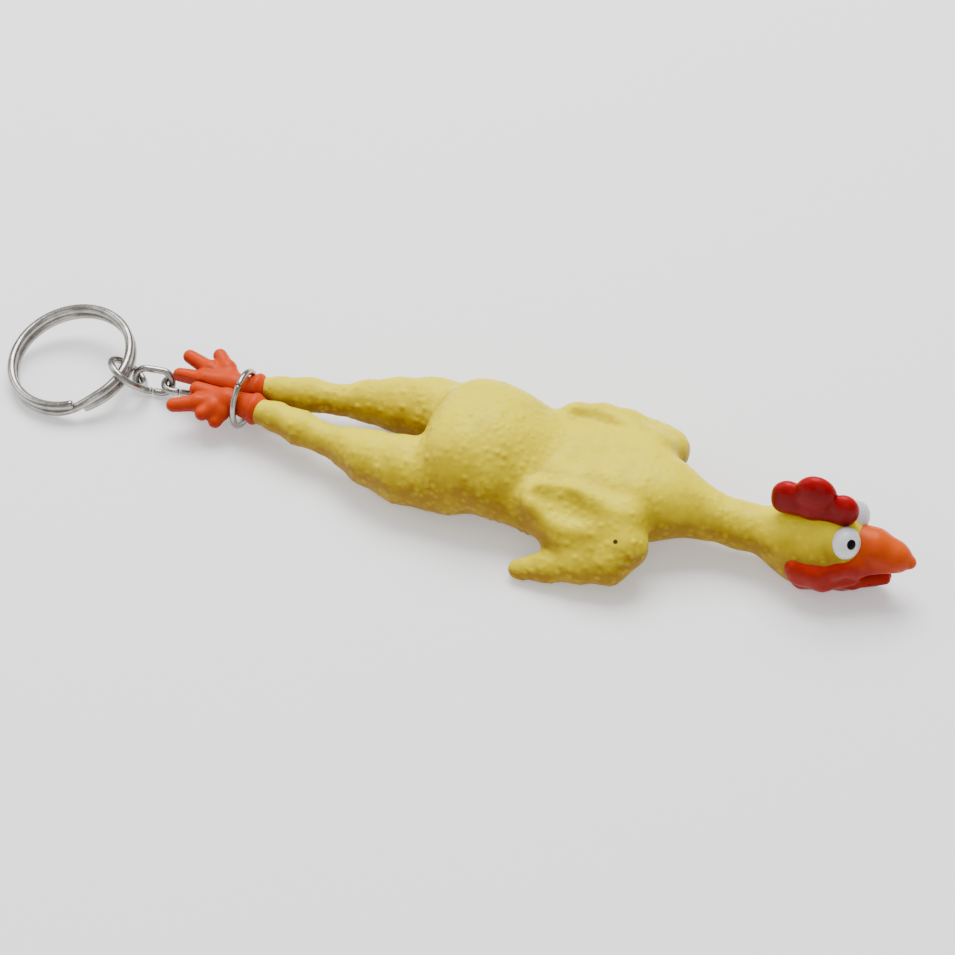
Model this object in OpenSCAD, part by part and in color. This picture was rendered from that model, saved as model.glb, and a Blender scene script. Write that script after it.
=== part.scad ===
// Miniature rubber chicken on a key chain.
// +X runs from the feet to the beak, +Z is up, and the toy lies on its belly on the plane Z = 0.

/* [Chicken] */
// Half width of the body at the hips
hip_half_width = 14.6; // [13.5:0.1:15]
// Radius of the neck
neck_radius = 4.6; // [4.3:0.1:4.8]
// Radius of an eyeball
eye_radius = 2.9; // [2.4:0.1:3.2]
// Thickness of the comb
comb_thickness = 3.2; // [2:0.2:4]
// Thickness of the vinyl wall round the hollow of the torso
wall = 1.6; // [1.2:0.2:2.4]

/* [Key chain] */
// Outer diameter of the split ring
split_ring_od = 26; // [25:0.25:26.5]
// Thickness of the split ring's wire
split_wire = 1.8; // [1.6:0.05:1.85]
// Outer length of an oval chain link
link_length = 9.05; // [9:0.05:9.1]
// Outer width of an oval chain link
link_width = 6; // [5.8:0.1:6.2]
// Thickness of the chain wire
link_wire = 1.45; // [1.35:0.05:1.5]
// Outer diameter of the round link that holds the split ring
round_link_od = 9.5; // [9.4:0.05:9.6]
// Radius of the ankle ring, to the middle of its wire
ankle_ring_radius = 5.4; // [5.3:0.05:5.45]
// Thickness of the ankle ring's wire
ankle_wire = 1.3; // [1.2:0.05:1.35]

/* [Hidden] */

yellow = "#DCCB3C";
red = "#C3202B";
orange = "#E2572B";
steel = "#B9B7B2";

// Middle of the left eyeball
eye_centre = [78.4, 3.5, 13.4];
// Lobes of the comb: x, z, radius; and the height of its root inside the skull
comb_lobes = [[66, 16.6, 2.7], [70.8, 19, 3.7], [75.7, 17, 2.3]];
comb_root = 13.6;
// Height of the line where the two halves of the beak part
beak_parting = 6.4;
// Clearance between soft pieces that bend past each other
gap = 0.3;
// Facets round a soft piece
soft_fn = 28;

// Bending centres: hips, base of the neck, middle of the neck
hip_centre = [3.5, 0, 10];
hip_radius = 10;
neck_centre = [48.5, 0, 8.8];
neck_ball = 6.2;
nape_centre = [63.5, 0, 8];
nape_ball = 5;

// Sections of the torso: x, height of the centre, half width, half height
torso_sections = [
    [-8, 10, 9, 7.4], [-4, 10.2, 12.4, 9.4], [2, 10.4, hip_half_width, 10.4], [8, 10.4, hip_half_width, 10.4],
    [14, 9.2, 14.4, 9.2], [20, 8, 14.2, 8], [27, 7.5, 14.2, 7.5], [35, 7.8, 12.4, 7.6], [42, 8.4, 8.6, 7.2],
    [50, 8.8, 5.8, 5.8]
];
// 2 makes the torso's sections round, more makes them squarer
torso_squareness = 2.3;

// Balls down one leg, for the side where y is positive: x, y, z, radius
leg_balls = [
    [0, 8, 7.6, 6.9], [-7, 8.3, 7.2, 6.9], [-13, 7.4, 7.1, 6.2], [-19, 6.3, 7, 5.1], [-24, 5.4, 7, 4.1],
    [-29, 4.7, 7, 3.8], [-34, 3.8, 6.8, 3.3], [-38, 2.9, 6.7, 2.8], [-40, 2.6, 6.6, 2.6]
];
ankle_x = -42.5;
ankle_z = 6.8;
ankle_radius = 1.9;
ankle_y = 2;

// Toes of the left foot, then of the right foot
toe_tips = [
    [[-50.2, 7.6, 7.9], [-56.8, 5.9, 7.4], [-56.8, 0.85, 7]],
    [[-54.6, -7, 6.6], [-48, -6.8, 6.6], [-45.8, -6.8, 4.8]]
];
toe_radius = 1.25;
heel_x = -45.4;
// The cuff round the end of the leg begins and ends here
cuff_start = -41.1;
foot_end = -39.9;

// Joints of one wing, for the side where y is positive
elbow = [22, 10.6, 12.2];
shoulder = [39.8, 9.2, 11.6];
wrist = [41, 14.6, 7.2];
forearm = [34, 17.8, 4.6];
wing_tip = [21, 20.6, 1.3];

// The ankle ring hangs a little below the middle of the ankles
ankle_ring_at = [ankle_x, 0, ankle_z - 0.8];
// The chain hangs on the ankle ring's wire, this far round from its bottom
hook_angle = 50;
hook = ankle_ring_at + ankle_ring_radius * [0, sin(hook_angle), -cos(hook_angle)];
// The oval links lie in one line away from the hook, with this clearance between their wires
link_gap = 0.15;
chain_heading = 8.4;
chain_rise = 1.75;
chain_way = -[cos(chain_rise) * cos(chain_heading), cos(chain_rise) * sin(chain_heading), -sin(chain_rise)];
// From a link's middle to the middle of the wire at its end
half_reach = (link_length - link_wire) / 2;
first_step = half_reach - (ankle_wire + link_wire) / 2 - link_gap;
pitch = 2 * half_reach - link_wire - link_gap;
// How far each oval link is rolled from lying flat: link_5, link_4, link_3, link_2
link_rolls = [90 + hook_angle, 54, -6, 63.6];
// The round link leans on the chain, and the split ring leans on the round link
link_1_at = [-67.11, -0.71, 5.34];
link_1_normal = [0.482, 0.496, 0.722];
split_ring_at = [-79.62, -0.29, 4.61];
split_ring_normal = [-0.114, -0.195, 0.974];
// Turn of the split ring about its own axis: where its wire ends
split_turn = 60;

// --- helpers ---

function squared(t, squareness) = sign(t) * pow(abs(t), 2 / squareness);

// A closed skin through oval sections that stand across X
module loft(sections, squareness, grow = 0) {
    sides = 32;
    rings = [for (s = sections) [for (i = [0 : sides - 1]) let (a = i * 360 / sides)
        [s[0], (s[2] + grow) * squared(cos(a), squareness),
         s[1] + (s[3] + grow) * squared(sin(a), squareness)]]];
    last = len(sections) - 1;
    ends = [for (s = [sections[0], sections[last]]) [s[0], 0, s[1]]];
    points = concat([for (r = rings) each r], ends);
    start = len(sections) * sides;
    faces = concat(
        [for (r = [0 : last - 1], i = [0 : sides - 1]) let (j = (i + 1) % sides)
            each [[r * sides + i, (r + 1) * sides + j, r * sides + j],
                  [r * sides + i, (r + 1) * sides + i, (r + 1) * sides + j]]],
        [for (i = [0 : sides - 1]) [start, i, (i + 1) % sides]],
        [for (i = [0 : sides - 1]) [start + 1, last * sides + (i + 1) % sides, last * sides + i]]
    );
    polyhedron(points, faces);
}

module ball(at, r) {
    translate(at) sphere(r, $fn = soft_fn);
}

// The numbers of one ball for limb()
function at_ball(at, r) = [at[0], at[1], at[2], r];

// A limb through balls given as x, y, z, radius
module limb(balls) {
    for (i = [0 : len(balls) - 2])
        hull() {
            ball([balls[i][0], balls[i][1], balls[i][2]], balls[i][3]);
            ball([balls[i + 1][0], balls[i + 1][1], balls[i + 1][2]], balls[i + 1][3]);
        }
}

// Children on the left side (side = 1) or mirrored to the right side (side = -1)
module on_side(side) {
    mirror([0, side < 0 ? 1 : 0, 0]) children();
}

// Turns +Z onto a direction
module aim(direction) {
    rotate([0, acos(direction[2] / norm(direction)), atan2(direction[1], direction[0])]) children();
}

// --- chicken ---

module torso_outline(grow = 0) {
    loft(torso_sections, torso_squareness, grow);
}

module hip_drum(grow = 0) {
    translate(hip_centre) rotate([90, 0, 0]) cylinder(r = hip_radius + grow, h = 40, center = true, $fn = 64);
}

module torso() {
    hollow_start = hip_centre[0] - 5;
    hollow_end = neck_centre[0] - neck_ball - gap - wall;
    color(yellow)
    difference() {
        intersection() {
            torso_outline();
            union() {
                hip_drum();
                translate([hip_centre[0], -20, -5]) cube([60, 40, 30]);
            }
        }
        intersection() {
            torso_outline(-wall);
            translate([hollow_start, -20, -5]) cube([hollow_end - hollow_start, 40, 30]);
        }
        translate(neck_centre) sphere(neck_ball + gap);
    }
}

// The neck turns in the torso's socket and carries a socket for the nape
module neck() {
    middle = [56.5, 0, 8.3];
    color(yellow)
    difference() {
        union() {
            translate(neck_centre) sphere(neck_ball - 0.5);
            limb([at_ball(neck_centre, neck_ball - 0.9), at_ball(middle, neck_radius - 0.4),
                  at_ball(nape_centre, neck_radius)]);
        }
        translate(nape_centre) sphere(nape_ball);
        translate(nape_centre + [0, -20, -20]) cube([20, 40, 40]);
    }
}

module skull() {
    hull() {
        ball([70.6, 0, 7.6], 6.6);
        ball([75.2, 0, 8], 6.8);
        ball([76, 2.2, 10.6], 4.4);
        ball([76, -2.2, 10.6], 4.4);
    }
    hull() {
        ball(nape_centre, neck_radius);
        ball([70.6, 0, 7.6], 6.6);
    }
}

module head() {
    color(yellow)
    skull();
}

module comb_disc(x, z, r) {
    translate([x, comb_thickness / 2, z]) rotate([90, 0, 0]) cylinder(r = r, h = comb_thickness, $fn = 40);
}

module comb() {
    color(red)
    difference() {
        union() {
            for (lobe = comb_lobes)
                hull() {
                    comb_disc(lobe[0], lobe[1], lobe[2]);
                    comb_disc(lobe[0], comb_root, 1.6);
                }
            hull() {
                comb_disc(comb_lobes[0][0], comb_root + 1.4, 1.9);
                comb_disc(comb_lobes[2][0], comb_root + 1.4, 1.9);
            }
        }
        skull();
        upper_beak_outline(0.1);
        for (side = [-1, 1])
            on_side(side) ball(eye_centre, eye_radius + 0.1);
    }
}

module upper_beak_outline(grow = 0) {
    hull() {
        ball([79.2, 0, 11.6], 3.6 + grow);
        ball([79, 2.6, 8.6], 2.2 + grow);
        ball([79, -2.6, 8.6], 2.2 + grow);
        ball([90.2, 0, 9.4], 0.9 + grow);
    }
}

module lower_beak_outline(grow = 0) {
    hull() {
        ball([77.6, 2.4, 4.4], 2.4 + grow);
        ball([77.6, -2.4, 4.4], 2.4 + grow);
        ball([86.2, 0, 4.4], 0.9 + grow);
    }
}

module upper_beak() {
    color(orange)
    difference() {
        upper_beak_outline();
        skull();
        translate([70, -10, -5]) cube([30, 20, beak_parting + gap / 2 + 5]);
    }
}

module lower_beak() {
    color(orange)
    difference() {
        lower_beak_outline();
        skull();
        translate([70, -10, beak_parting - gap / 2]) cube([30, 20, 10]);
    }
}

// Red cheek that hangs below the eye, ending on the lower beak
module lappet(side) {
    color(red)
    on_side(side)
    difference() {
        hull() {
            ball([70.8, 5.4, 5.6], 1.7);
            ball([76, 5.6, 4], 1.9);
            ball([77.6, 5.2, 7.4], 1.5);
        }
        skull();
        lower_beak_outline(0.1);
        upper_beak_outline(0.1);
    }
}

module eye(side) {
    color("white")
    on_side(side)
    difference() {
        ball(eye_centre, eye_radius);
        skull();
        upper_beak_outline();
        translate([60, -20, 10]) cube([30, 20.05, 20]);
    }
}

// A folded wing: elbow back, wrist forward, tip back and out
module wing(side) {
    color(yellow)
    on_side(side)
    difference() {
        union() {
            limb([at_ball(elbow, 3.4), [30, 9.8, 11, 3.2], at_ball(shoulder, 3.2)]);
            limb([at_ball(shoulder, 3.2), at_ball(wrist, 3.8), at_ball(forearm, 3.6), at_ball(wing_tip, 1.2)]);
            hull() {
                ball(elbow, 3);
                ball(shoulder, 3);
                ball(wrist, 3.4);
                ball(forearm, 3);
            }
            limb([at_ball(elbow, 3.2), [27, 12.6, 6.6, 3.4], at_ball(forearm, 3.4)]);
        }
        torso_outline(gap);
    }
}

module leg(side) {
    color(yellow)
    on_side(side)
    difference() {
        limb(leg_balls);
        hip_drum(gap);
        translate([hip_centre[0] - 4, -20, -10]) cube([30, 60, 40]);
        translate([-60, -10, -10]) cube([60 + foot_end, 40, 30]);
        translate([-60, -20 + 0.02, -10]) cube([80, 20, 30]);
    }
}

// Cuff, ankle, sole and three toes
module foot(side) {
    tips = side > 0 ? toe_tips[0] : toe_tips[1];
    heel = [heel_x, side * 2.2, ankle_z];
    color(orange)
    difference() {
        union() {
            translate([cuff_start, side * 2.6, ankle_z]) rotate([0, 90, 0])
                cylinder(r = 2.6, h = foot_end - cuff_start, $fn = 40);
            translate([heel_x, side * ankle_y, ankle_z]) rotate([0, 90, 0])
                cylinder(r = ankle_radius, h = cuff_start - heel_x + 0.4, $fn = 40);
            for (tip = tips)
                hull() {
                    ball(heel, 1.7);
                    ball(heel + (tip - heel) * 0.45, 1.6);
                    ball(tip, toe_radius);
                }
        }
        translate([-80, side > 0 ? -20.02 : 0.02, -10]) cube([60, 20, 30]);
    }
}

// --- key chain ---

module ankle_ring() {
    color(steel)
    translate(ankle_ring_at)
    rotate([0, 90, 0])
    rotate_extrude($fn = 64) translate([ankle_ring_radius, 0]) circle(ankle_wire / 2, $fn = 24);
}

// An oval link lying flat, its long way along X
module oval_link() {
    bend = (link_width - link_wire) / 2;
    straight = half_reach - bend;
    for (end = [0, 180])
        rotate([0, 0, end]) {
            translate([straight, 0, 0]) rotate([0, 0, -90])
                rotate_extrude(angle = 180, $fn = 64) translate([bend, 0]) circle(link_wire / 2, $fn = 24);
            translate([-straight, bend, 0]) rotate([0, 90, 0])
                cylinder(r = link_wire / 2, h = 2 * straight, $fn = 24);
        }
}

// The oval link that many steps along the chain from the ankle ring
module chain_link(step) {
    color(steel)
    translate(hook + (first_step + step * pitch) * chain_way)
    rotate([link_rolls[step], chain_rise, chain_heading])
    oval_link();
}

module link_1() {
    color(steel)
    translate(link_1_at) aim(link_1_normal)
    rotate_extrude($fn = 64) translate([(round_link_od - link_wire) / 2, 0]) circle(link_wire / 2, $fn = 24);
}

// Two turns of wire that lie on each other, with one short step up between them
split_step_angle = 40;
function split_rise(t) =
    let (s = max(0, min(1, (t - 360 + split_step_angle / 2) / split_step_angle)))
    (s * s * (3 - 2 * s) - 0.5) * (split_wire + 0.08);

module split_ring() {
    sides = 10;
    path_radius = (split_ring_od - split_wire) / 2;
    turns = [for (t = [12 : 8 : 708]) t];
    rings = [for (t = turns) [for (i = [0 : sides - 1])
        let (a = i * 360 / sides, r = path_radius + split_wire / 2 * cos(a))
        [r * cos(t), r * sin(t), split_rise(t) + split_wire / 2 * sin(a)]]];
    last = len(turns) - 1;
    faces = concat(
        [for (r = [0 : last - 1], i = [0 : sides - 1]) let (j = (i + 1) % sides)
            each [[r * sides + i, r * sides + j, (r + 1) * sides + j],
                  [r * sides + i, (r + 1) * sides + j, (r + 1) * sides + i]]],
        [[for (i = [sides - 1 : -1 : 0]) i]],
        [[for (i = [0 : sides - 1]) last * sides + i]]
    );
    color(steel)
    translate(split_ring_at) aim(split_ring_normal) rotate([0, 0, split_turn])
    polyhedron([for (r = rings) each r], faces);
}

// Sets the middle of the whole part's footprint on X = 0
footprint_shift = 0.82;
translate([footprint_shift, 0, 0]) {
    torso();
    neck();
    head();
    comb();
    upper_beak();
    lower_beak();
    lappet(-1);  // lappet_right
    lappet(1);  // lappet_left
    eye(-1);  // eye_right
    eye(1);  // eye_left
    wing(-1);  // wing_right
    wing(1);  // wing_left
    leg(-1);  // leg_right
    leg(1);  // leg_left
    foot(-1);  // foot_right
    foot(1);  // foot_left
    ankle_ring();
    chain_link(0);  // link_5
    chain_link(1);  // link_4
    chain_link(2);  // link_3
    chain_link(3);  // link_2
    link_1();
    split_ring();
}
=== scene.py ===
"""Rubber chicken on a key chain: the looks.

Lengths below are millimetres in the design's own frame; row() turns them into the row frame in metres.
The vinyl is modelled as distance fields that melt into each other, and meshed on a grid.
"""
import math
import bpy
import numpy as np
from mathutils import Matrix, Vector


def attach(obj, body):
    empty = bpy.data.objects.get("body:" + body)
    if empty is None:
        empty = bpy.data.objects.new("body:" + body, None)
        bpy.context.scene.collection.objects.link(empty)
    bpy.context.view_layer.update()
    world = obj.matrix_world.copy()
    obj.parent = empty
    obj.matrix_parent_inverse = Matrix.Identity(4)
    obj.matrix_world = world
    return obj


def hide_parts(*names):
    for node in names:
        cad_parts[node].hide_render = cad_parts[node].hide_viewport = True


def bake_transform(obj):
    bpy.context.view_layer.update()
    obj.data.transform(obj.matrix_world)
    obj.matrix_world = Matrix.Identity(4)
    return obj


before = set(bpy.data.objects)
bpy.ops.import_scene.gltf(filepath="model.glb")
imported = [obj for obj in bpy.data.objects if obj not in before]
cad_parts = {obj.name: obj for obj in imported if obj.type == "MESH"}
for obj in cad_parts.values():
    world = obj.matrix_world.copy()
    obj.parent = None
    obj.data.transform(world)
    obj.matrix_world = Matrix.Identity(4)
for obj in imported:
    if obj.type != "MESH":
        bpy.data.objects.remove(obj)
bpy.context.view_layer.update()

# The row frame starts at the middle of the footprint, this far before the design's origin along X
FOOTPRINT_SHIFT = 0.82
# Steps of the mesh: for the skin, and for the small pieces
GRID = 0.34
FINE_GRID = 0.22

# Places that the design fixes
EYE, EYE_HALF = np.array([78.4, 3.5, 13.4]), np.array([2.65, 2.9, 3.1])
VENT = [38.5, -15.7, 11.3]
ANKLE_RING = np.array([-42.5, 0, 6.0])
ANKLE_RING_RADIUS, ANKLE_WIRE = 5.4, 1.3
HOOK_ANGLE = 50
LINK_LENGTH, LINK_WIDTH, LINK_WIRE, LINK_GAP = 9.05, 6.0, 1.45, 0.15
# A touch thinner than the wire in the CAD, so that the links clear each other at every limit
LINK_RADIUS = 0.97 * LINK_WIRE / 2
CHAIN_HEADING, CHAIN_RISE = 8.4, 1.75
LINK_ROLLS = {"link_5": 140, "link_4": 54, "link_3": -6, "link_2": 63.6}
LINK_1, LINK_1_NORMAL, LINK_1_RADIUS = np.array([-67.11, -0.71, 5.34]), np.array([0.482, 0.496, 0.722]), 4.025
SPLIT_RING, SPLIT_NORMAL = np.array([-79.62, -0.29, 4.61]), np.array([-0.114, -0.195, 0.974])
SPLIT_RADIUS, SPLIT_WIRE = 12.1, 1.8
# Where the split ring's wire ends, in degrees round the ring, and how long its step from turn to turn is
SPLIT_START, SPLIT_STEP = -60, 44

# The right leg's lower half lies this much farther up than the left one's
RIGHT_LEG_SHIFT = 1.8
# The skin is cut into pieces at these X, and these are two distances from the middle across a wing
HIP_CUT, NECK_CUT, HEAD_CUT = 12, 43, 58
WING_BEND = (15.8, 19.4)

# The camera looks at the target from this far away in metres, turned to the right and raised by these degrees
TARGET, CAMERA_DISTANCE, CAMERA_TURN, CAMERA_RISE = [8.23, -6.15, 8.0], 0.5, 20, 46.5


def row(points):
    """Design millimetres to row-frame metres."""
    return (np.asarray(points, float) + np.array([FOOTPRINT_SHIFT, 0, 0])) / 1000


def unit(v):
    return np.asarray(v, float) / np.linalg.norm(v)


# --- distance fields ---------------------------------------------------------

def melt(a, b, k):
    """The union of two fields, rounded over k where they meet."""
    h = np.clip(0.5 + 0.5 * (b - a) / k, 0, 1)
    return b + (a - b) * h - k * h * (1 - h)


def carve(a, b, k):
    """Field a without field b, rounded over k."""
    return -melt(-a, b, k)


def egg(p, centre, half, tilt=0.0, turn=0.0):
    """An ellipsoid, tilted about X and turned about Z, in degrees."""
    q = p - np.asarray(centre)
    if turn:
        c, s = math.cos(math.radians(turn)), math.sin(math.radians(turn))
        q = np.stack([q[:, 0] * c + q[:, 1] * s, -q[:, 0] * s + q[:, 1] * c, q[:, 2]], 1)
    if tilt:
        c, s = math.cos(math.radians(tilt)), math.sin(math.radians(tilt))
        q = np.stack([q[:, 0], q[:, 1] * c + q[:, 2] * s, -q[:, 1] * s + q[:, 2] * c], 1)
    half = np.asarray(half, float)
    k0 = np.linalg.norm(q / half, axis=1)
    k1 = np.linalg.norm(q / half ** 2, axis=1)
    return k0 * (k0 - 1) / np.maximum(k1, 1e-9)


def bar(p, a, b, ra, rb):
    """A round bar from a to b whose radius runs from ra to rb."""
    a, b = np.asarray(a, float), np.asarray(b, float)
    d = b - a
    t = np.clip((p - a) @ d / (d @ d), 0, 1)
    return np.linalg.norm(p - a - t[:, None] * d, axis=1) - (ra + (rb - ra) * t)


def limb(p, balls, k):
    """Bars through balls given as x, y, z, radius."""
    field = None
    for one, two in zip(balls[:-1], balls[1:]):
        d = bar(p, one[:3], two[:3], one[3], two[3])
        field = d if field is None else melt(field, d, k)
    return field


def mirrored(p):
    """Both sides at once: y made positive."""
    return np.stack([p[:, 0], np.abs(p[:, 1]), p[:, 2]], 1)


def wing_field(q, side):
    """One wing, where y is positive: elbow back, wrist forward, tip back and out.
    The left one is cupped upwards."""
    arm = limb(q, [[22.2, 10.7, 11.7, 3.5], [28, 9.8, 11.8, 3.5], [38.2, 9.0, 11.0, 3.6]], 1.5)
    front = limb(q, [[38.2, 9.4, 10.8, 3.6], [39.6, 13.2, 7.8, 3.9], [37.2, 15.8, 5.4, 4.1]], 2)
    fore = limb(q, [
        [37.2, 15.8, 5.4, 4.1], [32, 17.2, 4.6, 3.7], [26.4, 18.7, 3.0, 2.8], [21.4, 20.2, 2.0, 1.9]], 1.2)
    back = limb(q, [[22.2, 11.0, 11.2, 3.4], [27.0, 12.8, 8.2, 3.2], [31.8, 15.8, 5.4, 3.4]], 1.5)
    skin = egg(q, [30.8, 12.6, 8.8], [9.0, 6.6, 4.4], tilt=-48)
    field = melt(melt(melt(melt(arm, front, 2), fore, 1.2), back, 1.6), skin, 2)
    if side > 0:
        rim = limb(q, [
            [22.6, 11.8, 10.4, 3.5], [26.5, 13.2, 10.8, 3.5],
            [31.5, 13.8, 10.2, 3.5], [36.8, 14.4, 7.8, 3.7]], 1)
        field = melt(field, rim, 1.5)
        hollow = egg(q, [26.0, 8.2, 15.9], [6.8, 3.0, 4.0], tilt=-14, turn=8)
    else:
        hollow = egg(q, [28.0, 12.9, 14.6], [7.0, 2.6, 2.2], tilt=-48, turn=12)
    field = carve(field, hollow, 2.6)
    ridge = bar(q, [22.5, 19.9, 2.7], [32, 16.2, 7.6], 0.7, 1.1)
    return melt(field, ridge, 1.0)


def leg_field(q, shift):
    """One leg, where y is positive: thigh, knee, calf and ankle. shift moves its lower half along X."""
    return limb(q, [
        [3, 7.8, 7.6, 7.0], [-6, 8.3, 7.2, 6.5], [-13, 7.6, 7.2, 5.3], [-19 + shift, 6.6, 7.1, 4.1],
        [-24.2 + shift, 5.5, 6.6, 2.9], [-30.5 + shift, 4.5, 6.9, 3.3], [-36 + shift, 3.4, 7.0, 2.8],
        [-41, 2.7, 6.8, 2.2]], 0.9)


def trunk_field(p):
    """Rump, hips, chest, shoulders, neck and skull, without wings and legs."""
    rump = bar(p, [4.6, -5.4, 11.2], [4.6, 5.4, 11.2], 7.7, 7.7)
    hips = egg(p, [8.2, 0, 10.2], [12.2, 14.2, 10.2])
    chest = egg(p, [24.5, 0, 7.6], [20.0, 15.0, 7.6])
    shoulders = egg(p, [38, 0, 8.8], [13, 9.6, 7.5])
    field = melt(melt(melt(rump, hips, 2), chest, 5), shoulders, 4)
    back = bar(mirrored(p), [25.5, 5.2, 11.4], [38, 4.6, 11.8], 3.8, 3.6)
    field = melt(field, back, 2.5)
    neck = limb(p, [[44, 0, 8.6, 5.8], [51, 0, 7.6, 4.4], [58, 0, 7.0, 4.0], [65, 0, 7.4, 4.8]], 2.5)
    field = melt(field, neck, 3)
    skull = melt(egg(p, [73.2, 0, 7.9], [9.2, 7.5, 7.8]), egg(p, [75.6, 0, 11.2], [5.2, 5.4, 4.4]), 2.5)
    skull = melt(skull, egg(p, [69.0, 0, 6.6], [6.8, 6.6, 6.4]), 2)
    skull = melt(skull, egg(p, [71.5, 0, 5.0], [7.0, 7.6, 5.0]), 1.5)
    return melt(field, skull, 3)


def both(p, field, left, right):
    """A field with one value on the left side and another on the right side."""
    q = mirrored(p)
    out = np.empty(len(p))
    is_left = p[:, 1] >= 0
    out[is_left] = field(q[is_left], left)
    out[~is_left] = field(q[~is_left], right)
    return out


def skin_field(p):
    """All of the yellow vinyl."""
    field = melt(trunk_field(p), both(p, leg_field, 0, RIGHT_LEG_SHIFT), 2.0)
    return melt(field, both(p, wing_field, 1, -1), 1.7)


def comb_field(p):
    """Three lobes on a low root."""
    field = egg(p, [66.3, 0, 17.9], [3.2, 2.1, 3.4])
    field = melt(field, egg(p, [71.2, 0, 19.9], [4.0, 2.3, 4.3]), 0.6)
    field = melt(field, egg(p, [76.6, 0, 18.0], [2.9, 2.0, 3.3]), 0.5)
    base = limb(p, [[65.4, 0, 16.2, 2.0], [71, 0, 16.6, 2.2], [76.6, 0, 16.4, 1.9]], 1)
    return melt(field, base, 1.0)


def upper_beak_field(p):
    """The upper beak, hollowed underneath where the mouth is."""
    q = mirrored(p)
    field = limb(p, [[79, 0, 10.1, 4.1], [83.2, 0, 10.2, 3.5], [87.2, 0, 9.5, 2.6], [90, 0, 8.8, 1.2]], 1.5)
    side = limb(q, [[76.6, 4.2, 8.0, 2.0], [81, 3.2, 7.6, 1.9], [88, 0.6, 7.8, 0.9]], 1)
    field = melt(field, side, 1.6)
    mouth = egg(p, [82, 0, 1.8], [14, 9, 4.0])
    return carve(field, mouth, 0.8)


def lower_beak_field(p):
    """The lower beak with the lip that runs back under the cheek."""
    q = mirrored(p)
    lip = limb(q, [[72.6, 5.8, 3.2, 1.5], [80.5, 3.2, 3.2, 1.3], [86.0, 0.4, 3.2, 1.1]], 1)
    jaw = limb(q, [[71.6, 4.6, 2.7, 2.4], [78.5, 2.2, 2.0, 1.9], [84.2, 0, 2.2, 1.5]], 1)
    return melt(lip, jaw, 0.6)


def cheek_field(q):
    """The red cheek on the side where y is positive: a lobe that runs under the eye into the beak."""
    band = limb(q, [
        [70.7, 6.3, 7.0, 2.4], [74.2, 6.5, 7.2, 2.3], [77.4, 5.2, 8.4, 2.1], [80.2, 3.8, 8.8, 2.0]], 1)
    low = limb(q, [[71.0, 6.1, 5.0, 2.2], [75.4, 5.8, 4.8, 2.1], [80.2, 3.5, 5.0, 1.7]], 1.5)
    return melt(band, low, 1.6)


def face_field(p):
    """Beak and cheeks in one skin."""
    upper = melt(upper_beak_field(p), cheek_field(mirrored(p)), 1.2)
    return melt(upper, lower_beak_field(p), 0.5)


# The tips of each foot's toes: 1 is the left foot, -1 the right foot
TOES = {
    1: [[-50.8, 7.7, 7.9], [-56.5, 5.9, 7.4], [-56.5, 1.0, 6.9]],
    -1: [[-54.4, -6.9, 6.6], [-48.4, -6.8, 6.2], [-45.8, -6.6, 4.9]],
}


def foot_field(p, side):
    """One foot. The two feet are pressed flat against each other at y = 0."""
    heel = np.array([-45.0, side * 2.1, 6.8])
    field = bar(p, [-41.0, side * 2.3, 6.8], heel, 2.1, 2.0)
    palm = bar(p, heel, [-51.6, side * 1.6, 6.9], 2.0, 1.6)
    field = melt(field, palm, 0.8)
    for tip in TOES[side]:
        tip = np.array(tip)
        knuckle = heel + (tip - heel) * 0.55
        toe = limb(p, [[*heel, 2.0], [*knuckle, 1.7], [*tip, 1.4]], 0.4)
        field = melt(field, toe, 0.7)
        field = melt(field, bar(p, knuckle, knuckle + [0.01, 0, 0], 1.85, 1.85), 0.5)
    cuff_x = -40.6 if side > 0 else -39.0
    field = melt(field, bar(p, [cuff_x, side * 2.6, 6.8], [-42.4, side * 2.3, 6.8], 2.9, 2.3), 0.4)
    cuff = egg(p, [cuff_x, side * 2.6, 6.8], [1.6, 3.2, 3.2])
    field = melt(field, cuff, 0.35)
    return np.maximum(field, 0.01 - side * p[:, 1])


# --- meshing -----------------------------------------------------------------

def slope(field, p, h=0.04):
    """The field's value and gradient at points."""
    grad = np.empty_like(p)
    for i in range(3):
        e = np.zeros(3)
        e[i] = h
        grad[:, i] = (field(p + e) - field(p - e)) / (2 * h)
    return field(p), grad


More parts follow.
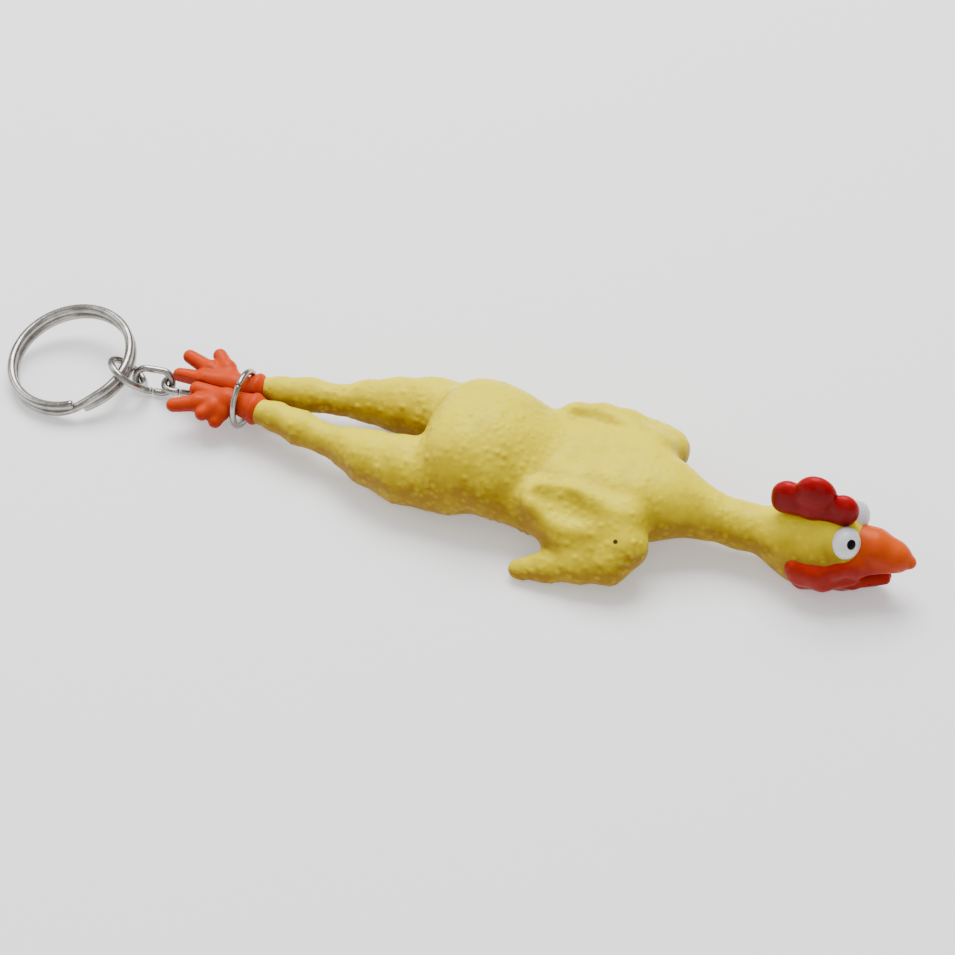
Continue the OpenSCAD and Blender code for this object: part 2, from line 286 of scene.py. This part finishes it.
def mesh_of(field, low, high, step):
    """Points and quads of the surface where the field is 0."""
    low = np.asarray(low, float)
    n = np.ceil((np.asarray(high) - low) / step).astype(int) + 1
    axes = [low[i] + step * np.arange(n[i]) for i in range(3)]
    value = np.empty(n)
    for i in range(0, n[0], 16):
        part = np.stack(np.meshgrid(axes[0][i:i + 16], axes[1], axes[2], indexing="ij"), -1)
        value[i:i + 16] = field(part.reshape(-1, 3)).reshape(part.shape[:3])
    inside = value < 0
    count = np.zeros(n - 1, int)
    for dx in (0, 1):
        for dy in (0, 1):
            for dz in (0, 1):
                count += inside[dx:n[0] - 1 + dx, dy:n[1] - 1 + dy, dz:n[2] - 1 + dz]
    active = (count > 0) & (count < 8)
    number = np.full(n - 1, -1)
    number[active] = np.arange(active.sum())
    points = low + (np.argwhere(active) + 0.5) * step
    for _ in range(4):
        f, g = slope(field, points)
        move = -(f / np.maximum((g * g).sum(1), 0.05))[:, None] * g
        length = np.linalg.norm(move, axis=1)
        points = points + move * np.minimum(1, step / np.maximum(length, 1e-9))[:, None]
    quads = []
    for axis in range(3):
        u, v = (axis + 1) % 3, (axis + 2) % 3
        first = np.take(inside, range(n[axis] - 1), axis)
        second = np.take(inside, range(1, n[axis]), axis)
        at = np.argwhere(first != second)
        at = at[(at[:, u] > 0) & (at[:, v] > 0) & (at[:, u] < n[u] - 1) & (at[:, v] < n[v] - 1)]
        corner = []
        for du, dv in ((-1, -1), (0, -1), (0, 0), (-1, 0)):
            c = at.copy()
            c[:, u] += du
            c[:, v] += dv
            corner.append(number[c[:, 0], c[:, 1], c[:, 2]])
        quad = np.stack(corner, 1)
        outward = first[at[:, 0], at[:, 1], at[:, 2]]
        quad[~outward] = quad[~outward][:, ::-1]
        quads.append(quad)
    return points, np.concatenate(quads)


def corner_normals(points, quads):
    """Area-weighted normals at the points."""
    a, b, c, d = (points[quads[:, i]] for i in range(4))
    face = np.cross(c - a, d - b)
    normals = np.zeros_like(points)
    for i in range(4):
        np.add.at(normals, quads[:, i], face)
    return normals / np.maximum(np.linalg.norm(normals, axis=1), 1e-12)[:, None]


def add_mesh(name, points, faces, material, normals=None):
    """A piece from points in design millimetres. Nothing goes below the table."""
    points = np.array(points, float)
    points[:, 2] = np.maximum(points[:, 2], 0)
    mesh = bpy.data.meshes.new(name)
    mesh.from_pydata(row(points).tolist(), [], faces.tolist() if isinstance(faces, np.ndarray) else faces)
    mesh.update()
    mesh.polygons.foreach_set("use_smooth", np.ones(len(mesh.polygons), bool))
    if normals is not None:
        mesh.normals_split_custom_set_from_vertices(normals.tolist())
    piece = bpy.data.objects.new(name, mesh)
    bpy.context.scene.collection.objects.link(piece)
    mesh.materials.append(material)
    return piece


def part_of(points, quads, keep):
    """The points and quads of the faces to keep, and the kept points' old numbers."""
    used, again = np.unique(quads[keep], return_inverse=True)
    return points[used], again.reshape(-1, 4), used


def add_field(name, field, low, high, material, step=FINE_GRID):
    points, quads = mesh_of(field, low, high, step)
    return add_mesh(name, points, quads, material, corner_normals(points, quads))


def wire(name, path, radius, material, sides, up):
    """A round wire along an open path, with flat ends that have a small chamfer."""
    path = np.asarray(path, float)
    count = len(path)
    along = np.gradient(path, axis=0)
    along /= np.linalg.norm(along, axis=1)[:, None]
    up = np.asarray(up, float) - (along @ np.asarray(up, float))[:, None] * along
    up /= np.linalg.norm(up, axis=1)[:, None]
    across = np.cross(along, up)
    scale = np.ones(count)
    scale[[0, -1]] = 0.86
    angle = np.linspace(0, 2 * math.pi, sides, endpoint=False)
    rings = path[:, None] + radius * scale[:, None, None] * (
        np.cos(angle)[None, :, None] * across[:, None] + np.sin(angle)[None, :, None] * up[:, None])
    faces = []
    for i in range(count - 1):
        j = i + 1
        for s in range(sides):
            t = (s + 1) % sides
            faces.append((i * sides + s, i * sides + t, j * sides + t, j * sides + s))
    faces.append(tuple(range(sides))[::-1])
    faces.append(tuple((count - 1) * sides + s for s in range(sides)))
    return add_mesh(name, rings.reshape(-1, 3), faces, material)


# --- materials ---------------------------------------------------------------

class Shader:
    """A Principled material with short ways to add nodes."""

    def __init__(self, name):
        self.material = bpy.data.materials.new(name)
        self.material.use_nodes = True
        self.tree = self.material.node_tree
        self.tree.nodes.clear()
        output = self.tree.nodes.new("ShaderNodeOutputMaterial")
        self.surface = self.tree.nodes.new("ShaderNodeBsdfPrincipled")
        self.tree.links.new(self.surface.outputs["BSDF"], output.inputs["Surface"])
        place = self.node("TexCoord").outputs["Object"]
        self.mm = self.node("VectorMath", {0: place, 3: 1000.0}, operation="SCALE").outputs[0]

    def node(self, kind, inputs=None, **settings):
        made = self.tree.nodes.new("ShaderNode" + kind)
        for key, value in settings.items():
            setattr(made, key, value)
        for key, value in (inputs or {}).items():
            self.put(made.inputs[key], value)
        return made

    def put(self, socket, value):
        if isinstance(value, bpy.types.NodeSocket):
            self.tree.links.new(value, socket)
        else:
            socket.default_value = value

    def set(self, **values):
        for key, value in values.items():
            self.put(self.surface.inputs[key.replace("_", " ")], value)

    def noise(self, scale, detail=3.0):
        return self.node("TexNoise", {"Vector": self.mm, "Scale": scale, "Detail": detail}).outputs[0]

    def ramp(self, value, low, high, out_low=0.0, out_high=1.0):
        made = self.node("MapRange", {0: value, 1: low, 2: high, 3: out_low, 4: out_high})
        return made.outputs[0]

    def mix(self, share, a, b):
        made = self.node("Mix", data_type="RGBA")
        self.put(made.inputs["Factor"], share)
        self.put(made.inputs[6], a)
        self.put(made.inputs[7], b)
        return made.outputs[2]

    def math(self, operation, a, b=0.0):
        return self.node("Math", {0: a, 1: b}, operation=operation).outputs[0]

    def bump(self, height, strength, distance, before=None):
        made = self.node("Bump", {"Height": height, "Strength": strength, "Distance": distance})
        if before is not None:
            self.put(made.inputs["Normal"], before)
        return made.outputs[0]


def colour(r, g, b):
    return (r, g, b, 1.0)


def vinyl(name, lit, shaded, pimples=0.0, roughness=0.42, sss=0.15, vent=None, blend=None):
    """Soft vinyl: painted shade, a darker shaded colour on the sides turned away from the light (the low and
    near sides), mottling, small pimples with painted highlights on their tops, and fine grain.
    vent is the middle of a dark dot, painted shade standing in for the vent hole, in row-frame millimetres.
    blend is (colour, shaded colour, way, start, end): the colours that take over between two distances along
    a way."""
    s = Shader(name)
    normal = s.node("NewGeometry").outputs["Normal"]
    # Painted shade: the colour goes from the lit colour to the shaded colour as the surface turns away from a
    # light above and behind; noise adds mottling
    toward_light = s.node("VectorMath", {0: normal, 1: (0.0, 0.5, 0.866)}, operation="DOT_PRODUCT").outputs["Value"]
    shade = s.math("ADD", s.ramp(toward_light, 0.85, -0.3), s.ramp(s.noise(0.22), 0.35, 0.7, -0.10, 0.14))
    shade = s.node("Clamp", {0: shade}).outputs[0]
    if blend:
        along = s.node("VectorMath", {0: s.mm, 1: blend[2]}, operation="DOT_PRODUCT").outputs["Value"]
        share = s.math("ADD", s.ramp(along, blend[3], blend[4]), s.ramp(s.noise(0.5), 0.3, 0.7, -0.12, 0.12))
        share = s.node("Clamp", {0: share}).outputs[0]
        lit, shaded = s.mix(share, lit, blend[0]), s.mix(share, shaded, blend[1])
    base = s.mix(shade, lit, shaded)
    relief = s.bump(s.noise(2.2, 4.0), 0.12, 0.0001)
    if pimples:
        cells = s.node("TexVoronoi", {"Vector": s.mm, "Scale": 0.62}).outputs["Distance"]
        height = s.math("MULTIPLY", s.ramp(cells, 0.5, 0.05), s.ramp(s.noise(0.14), 0.35, 0.6, 0.25, 1.0))
        relief = s.bump(height, pimples, 0.0004, relief)
        # Painted highlight: the pimple tops are painted lighter, towards the lit colour
        base = s.mix(s.math("MULTIPLY", height, 0.22), base, lit)
    if vent is not None:
        # Painted shade: a near-black dot where the vent hole is, standing in for the shade inside it
        away = s.node("VectorMath", {0: s.mm, 1: tuple(vent)}, operation="DISTANCE").outputs["Value"]
        base = s.mix(s.ramp(away, 0.55, 0.35), base, colour(0.05, 0.03, 0.01))
    wear = s.ramp(s.noise(0.9, 5.0), 0.35, 0.65, roughness - 0.06, roughness + 0.08)
    s.set(Base_Color=base, Roughness=wear, Normal=relief, Subsurface_Weight=sss,
          Subsurface_Radius=(1.0, 0.42, 0.12), Subsurface_Scale=0.0014, Specular_IOR_Level=0.12)
    return s.material


def nickel(name, tint, roughness):
    """Nickel plate: fine scratches along and across, small dull patches."""
    s = Shader(name)
    patches = s.noise(0.45, 4.0)
    scratches = s.noise(9.0, 6.0)
    base = s.mix(s.ramp(patches, 0.35, 0.7), tint, colour(0.26, 0.24, 0.215))
    rough = s.ramp(scratches, 0.3, 0.7, roughness - 0.05, roughness + 0.12)
    s.set(Base_Color=base, Metallic=1.0, Roughness=rough, Normal=s.bump(scratches, 0.15, 0.00003))
    return s.material


def gloss(name, tone, tone_low, specular=0.5):
    """Glossy paint with faint unevenness."""
    s = Shader(name)
    base = s.mix(s.ramp(s.noise(0.8), 0.35, 0.7), tone, tone_low)
    s.set(Base_Color=base, Roughness=s.ramp(s.noise(1.5, 4.0), 0.3, 0.7, 0.22, 0.36),
          Normal=s.bump(s.noise(1.2), 0.08, 0.0001), Specular_IOR_Level=specular)
    return s.material


# --- pieces ------------------------------------------------------------------

# Each vinyl material gets its lit colour and a darker copy of it; the darker copy is painted shade
YELLOW, SHADED_YELLOW = colour(0.88, 0.73, 0.0), colour(0.26, 0.14, 0.0)
skin = vinyl("yellow vinyl", YELLOW, SHADED_YELLOW, pimples=0.5, vent=row([VENT])[0] * 1000)
orange_skin = vinyl("orange paint", colour(0.66, 0.055, 0.0), colour(0.30, 0.014, 0.0), roughness=0.38)
face_paint = vinyl("face paint", colour(0.48, 0.012, 0.0), colour(0.24, 0.004, 0.0), roughness=0.34,
                   blend=(colour(0.72, 0.095, 0.0), colour(0.38, 0.028, 0.0), (0.35, 0.25, 0.9), 35.2, 38.4))
red_paint = vinyl("red paint", colour(0.44, 0.0, 0.004), colour(0.17, 0.0, 0.001), roughness=0.34, sss=0.05)
white_paint = gloss("white paint", colour(0.66, 0.66, 0.68), colour(0.58, 0.58, 0.61))
black_paint = gloss("black paint", colour(0.0, 0.0, 0.0), colour(0.004, 0.004, 0.004), specular=0.12)
chain_plate = nickel("nickel plate", colour(0.44, 0.42, 0.39), 0.2)


def finish_piece(piece, slot, *nodes):
    """The piece stands for these nodes, whose CAD parts are hidden. slot is not used."""
    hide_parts(*nodes)


def finish_rigid(piece, body, slot, *nodes):
    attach(piece, body)
    finish_piece(piece, slot, *nodes)


def wing_border(p):
    """Above 0 where a point of the skin belongs to a wing."""
    return trunk_field(p) - both(p, wing_field, 1, -1) - 0.6


def goose_bumps(points, normals):
    """Moulded goose bumps on body, thighs and wings, at the points of a shaken lattice.
    They fade out down the legs and up the neck, and between the wings."""
    pitch, spread = 1.7, 0.36
    cell = np.floor(points / pitch).astype(int)
    lift = np.zeros(len(points))
    for dx in (-1, 0, 1):
        for dy in (-1, 0, 1):
            for dz in (-1, 0, 1):
                c = cell + [dx, dy, dz]
                key = c[:, 0] * 73 + c[:, 1] * 179 + c[:, 2] * 283
                shake = np.stack([np.sin(key * k) * 43758.5 % 1.0 for k in (12.99, 78.23, 37.72)], 1)
                away = (((c + 0.15 + 0.7 * shake) * pitch - points) ** 2).sum(1)
                rise = 0.06 + 0.21 * (np.sin(key * 3.17) * 9631.7 % 1.0) ** 1.5
                lift = np.maximum(lift, rise * np.exp(-away / (2 * spread ** 2)))
    x, y, z = points.T
    where = np.clip((x + 37) / 6, 0, 1) * np.clip((50 - x) / 8, 0, 1)
    where *= 1 - 0.85 * np.exp(-((x - 33) / 8) ** 2 - (y / 8) ** 2) * (z > 9)
    return points + normals * (lift * where)[:, None]


def build_skin():
    points, quads = mesh_of(skin_field, [-44.5, -24, -1], [85, 24, 23.5], GRID)
    points = goose_bumps(points, corner_normals(points, quads))
    normals = corner_normals(points, quads)
    middle = points[quads].mean(1)
    x, y = middle[:, 0], middle[:, 1]
    is_wing = (wing_border(middle) > 0) & (np.abs(y) > 9.5) & (x > 17) & (x < 45.5)
    parts = {
        "wing_skin_left": is_wing & (y > 0),
        "wing_skin_right": is_wing & (y < 0),
        "hips_and_legs": ~is_wing & (x < HIP_CUT),
        "back": ~is_wing & (x >= HIP_CUT) & (x < NECK_CUT),
        "neck_skin": ~is_wing & (x >= NECK_CUT) & (x < HEAD_CUT),
        "head_skin": ~is_wing & (x >= HEAD_CUT),
    }
    made = {}
    for name, keep in parts.items():
        p, f, used = part_of(points, quads, keep)
        made[name] = add_mesh(name, p, f, skin, normals[used])
    finish_rigid(made["back"], "body", "yellow_vinyl", "torso")
    near, far = WING_BEND
    bends = [
        ("hips_and_legs", "body", "legs", [11, 0, 10], [-6, 0, 10], ["leg_left", "leg_right"]),
        ("neck_skin", "body", "neck", [44, 0, 9], [55, 0, 9], ["neck"]),
        ("head_skin", "neck", "head", [59, 0, 8], [69, 0, 8], ["head"]),
        ("wing_skin_left", "body", "wing_left", [30, near, 8], [30, far, 8], ["wing_left"]),
        ("wing_skin_right", "body", "wing_right", [30, -near, 8], [30, -far, 8], ["wing_right"]),
    ]
    for name, a, b, start, end, nodes in bends:
        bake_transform(made[name])
        finish_piece(made[name], "yellow_vinyl", *nodes)


def build_head():
    comb = add_field("comb_lobes", comb_field, [61.5, -4, 11], [80.5, 4, 25.5], red_paint)
    finish_rigid(comb, "head", "red_paint", "comb")
    points, quads = mesh_of(face_field, [67, -10, -1], [92.5, 10, 16], FINE_GRID)
    normals = corner_normals(points, quads)
    middle = points[quads].mean(1)
    upper, lower = upper_beak_field(middle), lower_beak_field(middle)
    cheek = cheek_field(mirrored(middle))
    is_lower = (lower < upper) & (lower < cheek)
    is_cheek = ~is_lower & (cheek < upper)
    left = middle[:, 1] > 0
    parts = [
        ("upper_beak_shell", "orange_paint", "upper_beak", ~is_lower & ~is_cheek),
        ("lower_beak_shell", "orange_paint", "lower_beak", is_lower),
        ("cheek_left", "red_paint", "lappet_left", is_cheek & left),
        ("cheek_right", "red_paint", "lappet_right", is_cheek & ~left),
    ]
    for name, slot, node, keep in parts:
        p, f, used = part_of(points, quads, keep)
        piece = add_mesh(name, p, f, face_paint, normals[used])
        finish_rigid(piece, "head", slot, node)
    for side, word in ((1, "left"), (-1, "right")):
        build_eye(side, word)


def build_eye(side, word):
    """An eyeball, and a pupil that lies on it as a thin cap."""
    centre = EYE * [1, side, 1]

    def ball(p):
        return egg(p, centre, EYE_HALF)
    low, high = centre - EYE_HALF - 0.8, centre + EYE_HALF + 0.8
    eye = add_field(f"eyeball_{word}", ball, low, high, white_paint)
    finish_rigid(eye, "head", "white_paint", f"eye_{word}")
    look = unit([0.50, side * 0.62, 0.60 if side < 0 else 0.30])
    a = unit(np.cross(look, [0, 0, 1]))
    b = np.cross(a, look)
    rings, sides, reach, lift = 6, 36, 0.39, 1.012
    points, faces = [look * EYE_HALF * lift], []
    for i in range(1, rings + 1):
        thin = lift - 0.02 * (i / rings) ** 4
        for k in range(sides):
            t = 2 * math.pi * k / sides
            way = unit(look + reach * i / rings * (a * math.cos(t) + b * math.sin(t)))
            points.append(way * EYE_HALF * thin)
    for k in range(sides):
        n = (k + 1) % sides
        faces.append((0, 1 + k, 1 + n))
        for i in range(rings - 1):
            inner, outer = 1 + i * sides, 1 + (i + 1) * sides
            faces.append((inner + k, outer + k, outer + n, inner + n))
    pupil = add_mesh(f"pupil_{word}", np.array(points) + centre, faces, black_paint)
    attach(pupil, "head")


def build_feet():
    for side, word in ((1, "left"), (-1, "right")):
        def foot(p, side=side):
            return foot_field(p, side)
        box = sorted([-side * 0.6, side * 10])
        piece = add_field(f"foot_skin_{word}", foot, [-60, box[0], 1.5], [-35.5, box[1], 11.5], orange_skin)
        finish_rigid(piece, "legs", "orange_paint", f"foot_{word}")


def oval_path(steps=48, gap=0.0):
    """The wire's middle line in an oval link that lies flat, starting at a gap in one long side."""
    bend = (LINK_WIDTH - LINK_WIRE) / 2
    straight = (LINK_LENGTH - LINK_WIRE) / 2 - bend
    points = []
    for i in range(6):
        points.append([gap / 2 + (straight - gap / 2) * i / 6, -bend, 0])
    for i in range(steps + 1):
        t = math.pi * i / steps - math.pi / 2
        points.append([straight + bend * math.cos(t), bend * math.sin(t), 0])
    for i in range(1, 8):
        points.append([straight - 2 * straight * i / 8, bend, 0])
    for i in range(steps + 1):
        t = math.pi * i / steps + math.pi / 2
        points.append([-straight + bend * math.cos(t), bend * math.sin(t), 0])
    for i in range(1, 7):
        points.append([-straight + (straight - gap / 2) * i / 6, -bend, 0])
    return np.array(points)


def turned(points, roll, rise, heading):
    """Points turned about X, then Y, then Z, in degrees."""
    for axis, angle in ((0, roll), (1, rise), (2, heading)):
        c, s = math.cos(math.radians(angle)), math.sin(math.radians(angle))
        u, v = (axis + 1) % 3, (axis + 2) % 3
        new = points.copy()
        new[:, u] = points[:, u] * c - points[:, v] * s
        new[:, v] = points[:, u] * s + points[:, v] * c
        points = new
    return points


def circle_path(centre, normal, radius, start, sweep, steps, rise=None):
    """Part of a circle round a normal, in degrees. rise lifts each point along the normal."""
    n = unit(normal)
    a = unit(np.cross([0, 1, 0], n))
    b = np.cross(n, a)
    degrees = start + sweep * np.arange(steps) / (steps - 1)
    t = np.radians(degrees)
    lift = 0 if rise is None else rise(degrees)[:, None] * n
    return centre + radius * (np.cos(t)[:, None] * a + np.sin(t)[:, None] * b) + lift


def wire_piece(body, path, radius, up, sides=20):
    """One bent wire that is a body of its own; its node has the body's name."""
    piece = wire(f"{body}_wire", path, radius, chain_plate, sides, up)
    finish_rigid(piece, body, "nickel", body)


def split_step(t):
    """How far the split ring's wire lies above its middle plane: one turn low, a step, one turn high."""
    s = np.clip((t - SPLIT_START - 360 + SPLIT_STEP / 2) / SPLIT_STEP, 0, 1)
    return (s * s * (3 - 2 * s) - 0.5) * (SPLIT_WIRE + 0.06)


def build_chain():
    ring = circle_path(ANKLE_RING, [1, 0, 0], ANKLE_RING_RADIUS, 200, 357.5, 160)
    wire_piece("ankle_ring", ring, ANKLE_WIRE / 2, (1, 0, 0))
    t = math.radians(HOOK_ANGLE)
    hook = ANKLE_RING + ANKLE_RING_RADIUS * np.array([0, math.sin(t), -math.cos(t)])
    half_reach = (LINK_LENGTH - LINK_WIRE) / 2
    pitch = 2 * half_reach - LINK_WIRE - LINK_GAP
    first = half_reach - (ANKLE_WIRE + LINK_WIRE) / 2 - LINK_GAP
    way = -turned(np.array([[1.0, 0, 0]]), 0, CHAIN_RISE, CHAIN_HEADING)[0]
    for step, (name, roll) in enumerate(LINK_ROLLS.items()):
        offset = (first + step * pitch) * way
        path = turned(oval_path(gap=0.28), roll, CHAIN_RISE, CHAIN_HEADING) + hook + offset
        normal = turned(np.array([[0, 0, 1.0]]), roll, CHAIN_RISE, CHAIN_HEADING)[0]
        wire_piece(name, path, LINK_RADIUS, normal)
    round_link = circle_path(LINK_1, LINK_1_NORMAL, LINK_1_RADIUS, 100, 357, 120)
    wire_piece("link_1", round_link, LINK_RADIUS, LINK_1_NORMAL)
    split = circle_path(SPLIT_RING, SPLIT_NORMAL, SPLIT_RADIUS, SPLIT_START + 4, 712, 420, rise=split_step)
    wire_piece("split_ring", split, SPLIT_WIRE / 2, SPLIT_NORMAL, sides=24)


# --- stage -------------------------------------------------------------------

def build_floor():
    bpy.ops.mesh.primitive_plane_add(size=6, location=(0, 0, 0))
    floor = bpy.context.object
    floor.name = "floor"
    s = Shader("floor")
    s.set(Base_Color=s.mix(s.noise(0.01), colour(0.93, 0.93, 0.93), colour(0.91, 0.91, 0.91)), Roughness=0.7,
          Emission_Color=colour(1.0, 1.0, 1.0), Emission_Strength=0.3)
    floor.data.materials.append(s.material)


def build_lights():
    """Area lights given as name, place and size in metres, and power in watts, and a white world."""
    lights = [
        ("key", (-0.15, 0.40, 0.75), 0.6, 12.0),
        ("fill", (0.3, -0.8, 0.55), 0.8, 2.0),
        ("side", (-0.8, -0.1, 0.5), 0.6, 2.5),
    ]
    for name, place, size, power in lights:
        data = bpy.data.lights.new(name, "AREA")
        data.size = size
        data.energy = power
        lamp = bpy.data.objects.new(name, data)
        lamp.location = place
        lamp.rotation_euler = (-Vector(place)).to_track_quat("-Z", "Y").to_euler()
        bpy.context.scene.collection.objects.link(lamp)
    world = bpy.data.worlds.new("studio")
    bpy.context.scene.world = world
    world.use_nodes = True
    sky = world.node_tree.nodes["Background"]
    sky.inputs["Color"].default_value = colour(1, 1, 1)
    sky.inputs["Strength"].default_value = 0.5


def build_camera():
    data = bpy.data.cameras.new("camera")
    data.lens = 100
    data.sensor_width = 36
    data.clip_start = 0.01
    camera = bpy.data.objects.new("camera", data)
    a, e = math.radians(CAMERA_TURN), math.radians(CAMERA_RISE)
    view = Vector((math.sin(a) * math.cos(e), -math.cos(a) * math.cos(e), math.sin(e)))
    camera.location = Vector(row(TARGET).tolist()) + CAMERA_DISTANCE * view
    camera.rotation_euler = (-view).to_track_quat("-Z", "Y").to_euler()
    bpy.context.scene.collection.objects.link(camera)
    bpy.context.scene.camera = camera


build_skin()
build_head()
build_feet()
build_chain()
build_floor()
build_lights()
build_camera()
